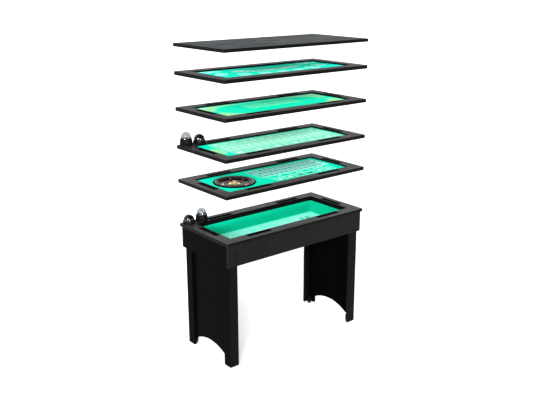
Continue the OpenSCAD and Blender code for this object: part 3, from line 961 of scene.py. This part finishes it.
print_roulette()
print_sicbo()
print_poker()
print_blackjack()
print_craps()


# ---- roulette wheel ----

# The numbers round the wheel, with -1 for the double zero
ORDER = [
    0, 28, 9, 26, 30, 11, 7, 20, 32, 17, 5, 22, 34, 15, 3, 24, 36, 13, 1,
    -1, 27, 10, 25, 29, 12, 8, 19, 31, 18, 6, 21, 33, 16, 4, 23, 35, 14, 2,
]
POCKET_TURN = 360 / len(ORDER)
POCKET_FLOOR = -18
NUMBERS_OUT, NUMBERS_IN, POCKETS_IN = ROTOR_R - 4.4, ROTOR_R - 14, ROTOR_R - 26
POCKETS_MIDDLE = (NUMBERS_IN + POCKETS_IN) / 2


def wheel_bowl():
    """Bowl with a rolled black lip, a polished flange whose lighter brown-grey, purple-tinged tone is
    painted sheen, a sloping ball track and eight deflectors.
    """
    lip = [(0.4, 0), (0, 0.6), (0, 4.2), (0.8, 6), (2.6, 7.8), (5.2, 9), (8, 9.3), (9.8, 8.9), (10.8, 8)]
    flange = [(11.6, 8.4), (14, 8.5), (17, 7.8), (20, 6.2), (22, 4.4), (23, 2.8)]
    track = [(24, 0.6), (30, -3.8), (36, -7.6), (40.5, -10.4), (43, -12), (44.4, -13.6)]
    cavity = WHEEL_R - 45
    inside = [(cavity, -15), (cavity, -31), (9, -31), (9, -27.8), (4, -27.8), (4, -34)]
    under = [(cavity + 3, -34), (cavity + 4, -33), (HOLE_R - 2, -6), (HOLE_R - 2, 0)]
    profile = [(WHEEL_R - inwards, z) for inwards, z in lip + flange + track] + inside + under
    bands = [0] * len(lip) + [2] * (len(flange) - 1) + [1] * (len(track) + 1) + [0] * len(inside + under)
    looks = [CAP_BLACK, BOWL_BROWN, FLANGE_PAINTED_SHEEN]
    lathed("wheel_bowl", "turned", looks, [(WHEEL, profile)], 144, bands, True)
    bm = bmesh.new()
    for k in range(8):
        at = WHEEL @ spin(45 * (k + 0.5)) @ shift(WHEEL_R - 32, 0, -5.1) @ spin(-32, "Y")
        narrowed = spin(90 * (k % 2)) @ Matrix.Diagonal((1.0, 0.42, 1.0, 1.0))
        turned(bm, [(0, -1), (6.5, -1), (6.5, 0.2), (2.5, 2.0), (0, 2.3)], at @ narrowed, 4)
    piece("wheel_deflectors", bm, "roulette_top", [CHROME])


def pocket_look(step):
    """Which of the rotor's looks a pocket has at a step round it: 1 green, 2 red or 3 black."""
    number = ORDER[step // 4]
    return 1 if number <= 0 else 2 if number in REDS else 3


def wheel_rotor():
    """Rotor: rim, numbered ring, pockets, and a cone with bright rings."""
    profile = [
        (7, -26), (ROTOR_R - 1, -26), (ROTOR_R, -25), (ROTOR_R, -13.4), (ROTOR_R - 0.6, -12.7),
        (ROTOR_R - 2, -12.3), (ROTOR_R - 3.6, -12.4), (NUMBERS_OUT, -13.2), (NUMBERS_IN + 0.2, -14.8),
        (NUMBERS_IN, POCKET_FLOOR), (POCKETS_IN, POCKET_FLOOR), (POCKETS_IN - 0.4, -12.8),
        (POCKETS_IN - 1.6, -12.1), (POCKETS_IN - 3, -11.8), (41, -8.6), (40, -7.8), (38, -7.6), (24, -5.6),
        (19, -4.6), (16, -4.2), (7, -4.2),
    ]
    bands = [0] * 4 + [5, 5, 0] + [pocket_look] * 3 + [0] * 4 + [5, 5, 4, 5, 5, 5, 0]
    looks = [ROTOR_BROWN, POCKET_GREEN, POCKET_RED, POCKET_BLACK, CONE_BRASS, BRASS]
    lathed("wheel_rotor", "turned", looks, [(WHEEL, profile)], 4 * len(ORDER), bands, True)


def rotor_fittings():
    """Frets between the pockets, their numbers, ribs on the cone, and the ball in a pocket."""
    frets, white, ribs, ball = bmesh.new(), bmesh.new(), bmesh.new(), bmesh.new()
    for k, number in enumerate(ORDER):
        fret = WHEEL @ spin(POCKET_TURN * k) @ shift(POCKETS_MIDDLE, 0, -16)
        rounded_cube(frets, fret, (NUMBERS_IN - POCKETS_IN + 0.6, 0.8, 4.6), 0.2, 2)
        at = WHEEL @ spin(POCKET_TURN * (k + 0.5)) @ shift((NUMBERS_OUT + NUMBERS_IN) / 2, 0, -13.95)
        figures(white, "00" if number < 0 else str(number), at @ (spin(-9.5, "Y") @ spin(-90)), 6.2)
    for k in range(16):
        lean = shift(31, 0, -6.9) @ spin(8, "Y")
        rounded_cube(ribs, WHEEL @ spin(360 / 16 * k) @ lean, (13, 4, 3), 0.9, 3)
    ball_radius, ball_pocket = 4.6, 5.5
    at = WHEEL @ spin(POCKET_TURN * ball_pocket) @ shift(POCKETS_MIDDLE, 0, POCKET_FLOOR + ball_radius)
    bmesh.ops.create_uvsphere(ball, u_segments=24, v_segments=14, radius=ball_radius * MM, matrix=at)
    piece("wheel_frets", frets, "roulette_wheel", [BRUSHED])
    piece("wheel_figures", white, "roulette_wheel", [FIGURE_WHITE])
    piece("wheel_cone_ribs", ribs, "roulette_wheel", [BRASS])
    piece("roulette_ball", ball, "roulette_wheel", [BALL_WHITE])


def wheel_turret():
    """Turned finial with four curved arms that end in balls."""
    bm = bmesh.new()
    profile = [
        (0, -4.2), (15, -4.2), (15.2, -3.6), (14.4, -2.9), (11.5, -2.4), (9, -1.6), (7, -0.4), (5.4, 1),
        (4.8, 2.2), (5.4, 3.2), (7.4, 4), (8.1, 5), (7.6, 6), (5.2, 6.8), (3.4, 7.3), (2.9, 7.9),
        (3.6, 8.4), (4.4, 9), (4.3, 9.7), (3.2, 10.2), (1.4, 10.4), (0, 10.4),
    ]
    turned(bm, profile, WHEEL, 48)
    for k in range(4):
        turn = WHEEL @ spin(90 * k)
        rings = []
        for x, z, thick in ((6.5, 5, 1.9), (9, 4.4, 1.5), (12, 4.2, 1.3), (15, 4.5, 1.3), (17.6, 5, 1.5)):
            ring = arc(0, z, thick, thick, 0, 315, 7)
            rings.append([bm.verts.new(turn @ Vector((x * MM, y * MM, up * MM))) for y, up in ring])
        for a, b in zip(rings, rings[1:]):
            skin(bm, a, b)
        bm.faces.new(rings[0][::-1])
        bm.faces.new(rings[-1])
        end = turn @ shift(20, 0, 5.2)
        bmesh.ops.create_uvsphere(bm, u_segments=20, v_segments=12, radius=2.6 * MM, matrix=end)
    stand_in("wheel_turret", "turned", bm, [BRASS])


def spindle_shape(radius, tall):
    return [(0, 0), (radius - 0.5, 0), (radius, 0.5), (radius, tall - 1), (radius - 1, tall), (0, tall)]


def bush_shape(radius, tall):
    bore = radius - 2.95
    return [
        (bore, 0.4), (bore + 0.4, 0), (radius - 0.5, 0), (radius, 0.5),
        (radius, tall - 0.5), (radius - 0.5, tall), (bore + 0.4, tall), (bore, tall - 0.4),
    ]


wheel_bowl()
wheel_rotor()
rotor_fittings()
wheel_turret()
lathed_each("wheel_spindle", "turned", ZINC, spindle_shape, 48)
lathed_each("wheel_bush", "turned", BRASS, bush_shape, 48, True)


# ---- dice poppers ----

DICE_TURNS = (-2, 12, -16)
DOME_WALL = 2
DIE_SIDES = {1: (0, 0), 6: (0, 180), 2: (0, 90), 5: (0, -90), 3: (90, 0), 4: (-90, 0)}


def die_mesh(size):
    """A die so many metres wide, its edges rounded and its opposite faces adding up to seven."""
    bm = bmesh.new()
    bmesh.ops.create_cube(bm, size=size)
    bmesh.ops.bevel(bm, geom=bm.edges[:], offset=size * 0.11, segments=4, profile=0.5, affect="EDGES")
    obj = linked("die", mesh_of(bm, "die", [DIE_WHITE_PAINTED_SHADE, PIP_BLACK]))
    cutter = bmesh.new()
    for spots, (about_x, about_y) in DIE_SIDES.items():
        turn = spin(about_x, "X") @ spin(about_y, "Y")
        for x, y in SPOTS[spots]:
            at = turn @ Matrix.Translation((x * size * 0.26, y * size * 0.26, size * 0.56))
            bmesh.ops.create_uvsphere(cutter, u_segments=12, v_segments=8, radius=size * 0.115, matrix=at)
    for face in cutter.faces:
        face.material_index = 1
    cut(obj, cutter)
    found = obj.data
    bpy.data.objects.remove(obj)
    return found


def dice(node, die):
    """The dice of a pair of poppers, each where the CAD has it and turned its own way."""
    bm = bmesh.new()
    found = solids(node)
    for k, (middle, _) in enumerate(found):
        turn = DICE_TURNS[k % (len(found) // 2)]
        start = len(bm.verts)
        bm.from_mesh(die)
        bm.verts.ensure_lookup_table()
        tumble = spin(90 * (k % 4), "X") @ spin(90 * (k * 3 % 4), "Y")
        place = Matrix.Translation(middle) @ spin(turn) @ tumble
        for vert in bm.verts[start:]:
            vert.co = place @ vert.co
    stand_in(node, "cut", bm, [DIE_WHITE_PAINTED_SHADE, PIP_BLACK], 40)


def popper_bases(node, domes):
    """Flared feet with grip ribs, a stepped collar and a rolled lip round the dome's opening."""
    shapes = []
    for (middle, size), dome_node in zip(solids(node), domes):
        under = middle.z - size.z / 2
        foot, tall = size.x / 2 / MM, size.z / MM
        opening = upright(dome_node)[1] - 1.5
        bore = opening + 2.1
        seat = (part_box(dome_node)[0].z - under) / MM - 4.3
        collar = tall - 9
        side = lambda z: foot - 1 + (opening + 4.5 - foot) * (z - 10) / (tall - 12)
        ribs = lambda z: ribbed(side(z) - 0.6, 36, 1.1)
        profile = [
            (0, 0), (foot - 1.5, 0), (foot - 0.3, 0.6), (foot, 1.8), (foot, 5), (foot - 0.8, 6.4),
            (side(8) - 0.4, 7.2), (ribs(9), 9), (ribs(collar), collar), (side(collar) - 0.6, collar + 0.8),
            (side(collar), collar + 2), (opening + 3.6, tall - 2.6), (opening + 3.2, tall - 0.8),
            (opening + 2.2, tall), (opening + 0.9, tall - 0.2), (opening, tall - 1.2), (opening, tall - 3),
            (bore, tall - 3), (bore, seat), (bore - 5, seat), (bore - 5, 4), (0, 4),
        ]
        shapes.append((Matrix.Translation((middle.x, middle.y, under)), profile))
    lathed(node, "moulded", [GLOSS_BLACK], shapes, 216)


def disc_shape(r, tall):
    """A sprung disc with a shallow pressed ring."""
    return [
        (0, 0), (r - 0.3, 0), (r, tall / 2 - 0.2), (r, tall / 2 + 0.2), (r - 0.3, tall), (r * 0.82, tall),
        (r * 0.78, tall - 0.25), (r * 0.5, tall - 0.25), (r * 0.46, tall), (0, tall),
    ]


def dome(node, look):
    """A blown dome on its flange: even wall, rounded crown."""
    place, flange, tall = upright(node)
    radius = flange - 2
    crown = tall - radius
    outside = [(flange, 0), (flange, 1.6), (flange - 0.4, 2), (radius + 0.5, 2), (radius, 2.5)]
    inside = [(radius - DOME_WALL, 0)]
    steps = 20
    for k in range(steps + 1):
        across = math.cos(math.pi / 2 * k / steps) if k < steps else 0
        up = math.sin(math.pi / 2 * k / steps)
        outside.append((radius * across, crown + radius * up))
        inside.append(((radius - DOME_WALL) * across, crown + (radius - DOME_WALL) * up))
    lathed(node, "blown", [look], [(place, outside + inside[::-1])], 72, None, True, 50)


DIE = die_mesh(solids("rim_popper_dice")[0][1].z)
for group, kinds in (("rim", ("smoked", "clear")), ("sicbo", ("clear", "smoked"))):
    domes = [f"{group}_{kind}_dome" for kind in kinds]
    popper_bases(group + "_popper_bases", domes)
    lathed_each(group + "_popper_discs", "pressed", SPRING, disc_shape)
    dice(group + "_popper_dice", DIE)
    for kind, node in zip(kinds, domes):
        dome(node, CLEAR if kind == "clear" else SMOKED)


# ---- hardware ----

def leg_bolts():
    """Button-headed bolts with hexagon sockets, heads outwards."""
    bm = bmesh.new()
    head, shank = 7.5, 3
    for middle, size in solids("leg_bolts"):
        axis = max(range(3), key=lambda i: size[i])
        way = Vector((0, 0, 0))
        way[axis] = 1 if middle[axis] > 0 else -1
        length = size[axis] / MM
        profile = [
            (0, -length), (shank - 0.8, -length), (shank, 1.5 - length), (shank, -3), (head - 0.2, -3),
            (head, -2.7), (head, -1.9), (head - 0.5, -0.9), (head - 1.6, -0.2), (head - 2.8, 0),
            (polygon_ring(6, 3.2), 0), (polygon_ring(6, 2.9), -0.3), (polygon_ring(6, 2.9), -1.9), (0, -2.0),
        ]
        turned(bm, profile, aimed(middle + way * size[axis] / 2, way), 48)
    piece("leg_bolt_heads", bm, "root", [BOLT_BLACK], ["leg_bolts"], 40)


def panel_screws():
    """Threaded cross-head screws, heads towards the middle of the table."""
    shapes, turns = [], 12
    for middle, size in solids("panel_screws"):
        way = Vector((-1 if middle.x > 0 else 1, 0, 0))
        length = size.x / MM
        profile = [(0, -length), (0.6, 0.4 - length)]
        for k in range(turns):
            z = 2 - length + k * (length - 7) / turns
            profile += [(1.2, z), (1.75, z + 0.5)]
        profile += [
            (1.4, -4), (1.6, -2.6), (3.6, -0.7), (4, -0.4), (3.9, -0.1), (3, 0),
            (cross_ring(2.2, 0.5), 0), (cross_ring(1.6, 0.4), -1.1), (0, -1.3),
        ]
        shapes.append((aimed(middle + way * size.x / 2, way), profile))
    # The screws take the black painted shade of the end panels' insides.
    lathed("panel_screws", "cut", [SCREW_PAINTED_SHADE], shapes, 32, smooth=40)


def insert_shape(flange, tall):
    """A flanged and knurled insert."""
    bore, body = 4.1, 6
    knurl = ribbed(body - 0.3, 24, 0.3)
    return [
        (bore, 0.3), (bore + 0.3, 0), (flange - 0.3, 0), (flange, 0.3), (flange, 1.2),
        (body - 0.4, 1.2), (knurl, 2), (knurl, tall - 2), (body - 0.6, tall), (bore, tall),
    ]


def levelling_foot(node):
    """A nylon pad with a gripped edge on a threaded steel stud."""
    place, pad, tall = upright(node)
    grip = ribbed(pad - 0.8, 24, 0.8)
    profile = [
        (0, 0), (pad - 1.5, 0), (pad - 0.6, 0.5), (grip, 1.2), (grip, 3.6), (pad - 2, 4.6), (pad - 6, 6.2),
        (7, 6.8), (5, 7),
    ]
    pad_bands = len(profile) - 1
    pitch, z = 1.25, 7.2
    while z < tall - 2:
        profile += [(3.45, z), (3.95, z + pitch / 2)]
        z += pitch
    profile += [(3.45, tall - 1), (2.6, tall), (0, tall)]
    bands = [0] * pad_bands + [1] * (len(profile) - 1 - pad_bands)
    lathed(node, "moulded", [FOOT_BLACK, ZINC], [(place, profile)], 96, bands, smooth=40)


def leg_caps():
    """Small domed caps over the screws that join each leg's two boards."""
    from_edge, from_floor = 16 * MM, 0.455
    profile = [(0, -4), (2.5, -4), (2.5, 0), (6, 0), (6, 0.5), (5.2, 1.2), (3, 1.7), (0, 1.9)]
    bm = bmesh.new()
    for depth, sy in (("front", -1), ("back", 1)):
        for end, sx in (("left", -1), ("right", 1)):
            low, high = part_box(f"leg_{depth}_{end}_face")
            outer = high.x if sx > 0 else low.x
            at = Vector((outer - sx * from_edge, high.y if sy > 0 else low.y, from_floor))
            turned(bm, profile, aimed(at, Vector((0, sy, 0))), 32)
    piece("leg_screw_caps", bm, "root", [CAP_BLACK])


leg_bolts()
panel_screws()
lathed_each("foot_inserts", "knurled", BRASS, insert_shape, 96, True, 40)
leg_caps()
for node in [n for n in NODES if n.startswith("foot_") and n not in ("foot_blocks", "foot_inserts")]:
    levelling_foot(node)


# ---- camera, floor and light ----

def towards(azimuth, elevation):
    """A direction in degrees: azimuth 0 is to the front of the table, 90 to its right end."""
    a, e = math.radians(azimuth), math.radians(elevation)
    return Vector((math.sin(a) * math.cos(e), -math.cos(a) * math.cos(e), math.sin(e)))


def set_camera():
    camera = linked("camera", bpy.data.cameras.new("camera"))
    target, distance = Vector((0.0106, 0, 0.9781)), 5.362
    back = towards(-39.35, 17.16)
    camera.location = target + back * distance
    camera.rotation_mode = "QUATERNION"
    camera.rotation_quaternion = (-back).to_track_quat("-Z", "Y")
    camera.data.sensor_width = 36
    camera.data.lens = 49.44
    camera.data.clip_end = 400
    bpy.context.scene.camera = camera


def set_floor():
    look = Look("pale_floor", grey(0.90), 0.9, 0.0)
    tone = look.mix(look.noise(0.5), grey(0.89), grey(0.91))
    bm = bmesh.new()
    bmesh.ops.create_grid(bm, x_segments=1, y_segments=1, size=150)
    mesh = bpy.data.meshes.new("floor")
    bm.to_mesh(mesh)
    bm.free()
    mesh.materials.append(look.done(Base_Color=tone))
    linked("floor", mesh)


def set_world():
    world = bpy.data.worlds.new("studio")
    world.use_nodes = True
    background = world.node_tree.nodes["Background"].inputs
    background["Color"].default_value = (1, 1, 1, 1)
    background["Strength"].default_value = 1.15
    bpy.context.scene.world = world


def sun(name, azimuth, elevation, strength, softness):
    light = linked(name, bpy.data.lights.new(name, "SUN"))
    light.data.energy = strength
    light.data.angle = math.radians(softness)
    light.rotation_mode = "QUATERNION"
    light.rotation_quaternion = towards(azimuth, elevation).to_track_quat("Z", "Y")


set_camera()
set_floor()
set_world()
sun("key", -44, 25, 2.9, 14)
sun("side", -60, 17.5, 3.0, 10)
sun("front", -15, 8, 3.2, 8)
bpy.context.scene.view_settings.view_transform = "Standard"
